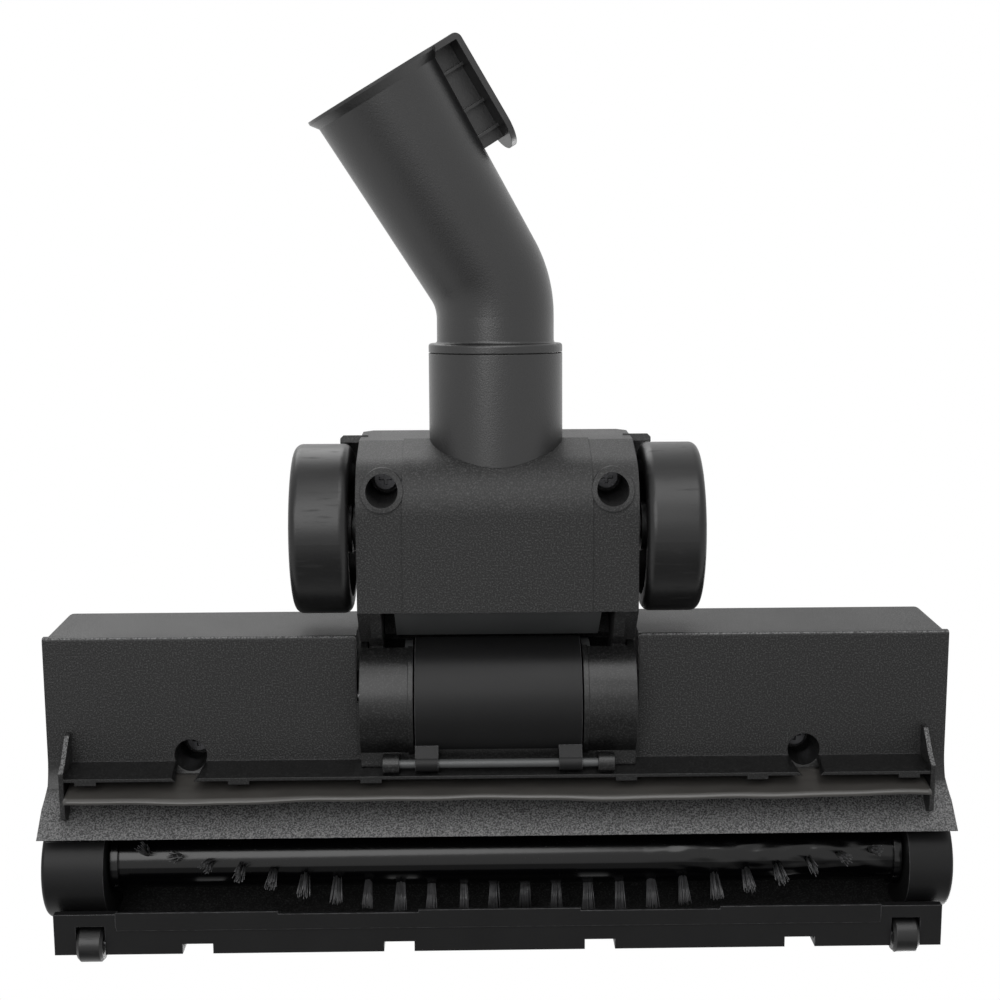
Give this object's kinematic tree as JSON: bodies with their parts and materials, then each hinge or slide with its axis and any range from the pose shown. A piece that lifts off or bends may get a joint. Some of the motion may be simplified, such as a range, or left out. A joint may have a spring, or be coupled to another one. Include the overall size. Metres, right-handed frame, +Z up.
{
  "type": "vacuum floor brush head",
  "caption": "Wide wheeled vacuum floor head with an air-driven roller brush, hinged turbine flap, pitching rear carriage and a swivelling bent neck with a tube socket and park hook.",
  "frame": {"origin": "on the floor under the middle of the whole part", "axes": "+Z up, +X along the roller toward the belt side, +Y from the roller toward the neck"},
  "size_m": [0.2802, 0.2784, 0.056],
  "materials": {
    "textured_housing": "charcoal plastic with a fine spark-eroded grain",
    "satin_black": "satin black plastic",
    "black_steel": "blackened steel",
    "satin_neck": "dark grey satin plastic",
    "smooth_inner": "smooth dark plastic",
    "wheel_plastic": "smooth black plastic with fine scuffs",
    "gloss_core": "glossy black plastic",
    "nylon_bristle": "dark grey nylon bristles",
    "strip_rubber": "thin dark flexible strip",
    "belt_rubber": "black belt rubber",
    "steel": "plain drawn steel",
    "bearing_bronze": "sintered bronze",
    "pulley_nylon": "off-white nylon"
  },
  "bodies": {
    "head": {"sole_plate": "textured_housing", "upper_cover": "textured_housing", "turbine_chamber": "smooth_inner", "squeegee_strip": "strip_rubber", "front_bar": "satin_black", "end_cap_left": "textured_housing", "end_cap_right": "textured_housing", "flap_hinge_pin": "smooth_inner", "caster_pin_left": "steel", "caster_pin_right": "steel", "brush_bearing_left": "bearing_bronze", "brush_bearing_right": "bearing_bronze", "turbine_bearing_left": "bearing_bronze", "turbine_bearing_right": "bearing_bronze", "shaft_end_bearing": "bearing_bronze", "housing_screws": "black_steel", "drive_belt": "belt_rubber"},
    "brush": {"brush_core": "gloss_core", "bristle_tufts": "nylon_bristle", "brush_pulley": "pulley_nylon"},
    "turbine": {"turbine_impeller": "smooth_inner", "turbine_shaft": "steel", "drive_pinion": "pulley_nylon"},
    "flap": {"access_flap": "textured_housing"},
    "carriage": {"carriage_lower_shell": "textured_housing", "carriage_upper_shell": "textured_housing", "air_duct": "smooth_inner", "swivel_sleeve": "satin_neck", "carriage_screws": "black_steel", "wheel_axle_left": "wheel_plastic", "wheel_axle_right": "wheel_plastic"},
    "neck": {"neck_elbow": "satin_neck", "swivel_ring": "smooth_inner"},
    "left_wheel": {"wheel_left": "wheel_plastic"},
    "right_wheel": {"wheel_right": "wheel_plastic"},
    "left_caster": {"caster_left": "wheel_plastic"},
    "right_caster": {"caster_right": "wheel_plastic"}
  },
  "joints": [
    {"name": "carriage_pitch", "type": "hinge", "parent": "head", "child": "carriage", "pos_m": [0, -0.06124, 0.024], "axis": [1, 0, 0], "range_deg": [-5, 22]},
    {"name": "neck_swivel", "type": "hinge", "parent": "carriage", "child": "neck", "pos_m": [0, 0.01376, 0.0315], "axis": [0, 0.9988, 0.0489], "continuous": true},
    {"name": "wheel_left_spin", "type": "hinge", "parent": "carriage", "child": "left_wheel", "pos_m": [0.0442, -0.00824, 0.026], "axis": [1, 0, 0], "continuous": true},
    {"name": "wheel_right_spin", "type": "hinge", "parent": "carriage", "child": "right_wheel", "pos_m": [-0.0442, -0.00824, 0.026], "axis": [1, 0, 0], "continuous": true},
    {"name": "caster_left_spin", "type": "hinge", "parent": "head", "child": "left_caster", "pos_m": [0.1252, -0.13364, 0.0056], "axis": [1, 0, 0], "continuous": true},
    {"name": "caster_right_spin", "type": "hinge", "parent": "head", "child": "right_caster", "pos_m": [-0.1252, -0.13364, 0.0056], "axis": [1, 0, 0], "continuous": true},
    {"name": "brush_spin", "type": "hinge", "parent": "head", "child": "brush", "pos_m": [0, -0.11224, 0.0215], "axis": [1, 0, 0], "continuous": true},
    {"name": "turbine_spin", "type": "hinge", "parent": "head", "child": "turbine", "pos_m": [0, -0.06124, 0.024], "axis": [1, 0, 0], "continuous": true},
    {"name": "flap_hinge", "type": "hinge", "parent": "head", "child": "flap", "pos_m": [0, -0.07734, 0.006], "axis": [-1, 0, 0], "range_deg": [0, 100]}
  ],
  "couplings": [
    {"joint": "turbine_spin", "follows": "brush_spin", "ratio": 2.0794}
  ]
}
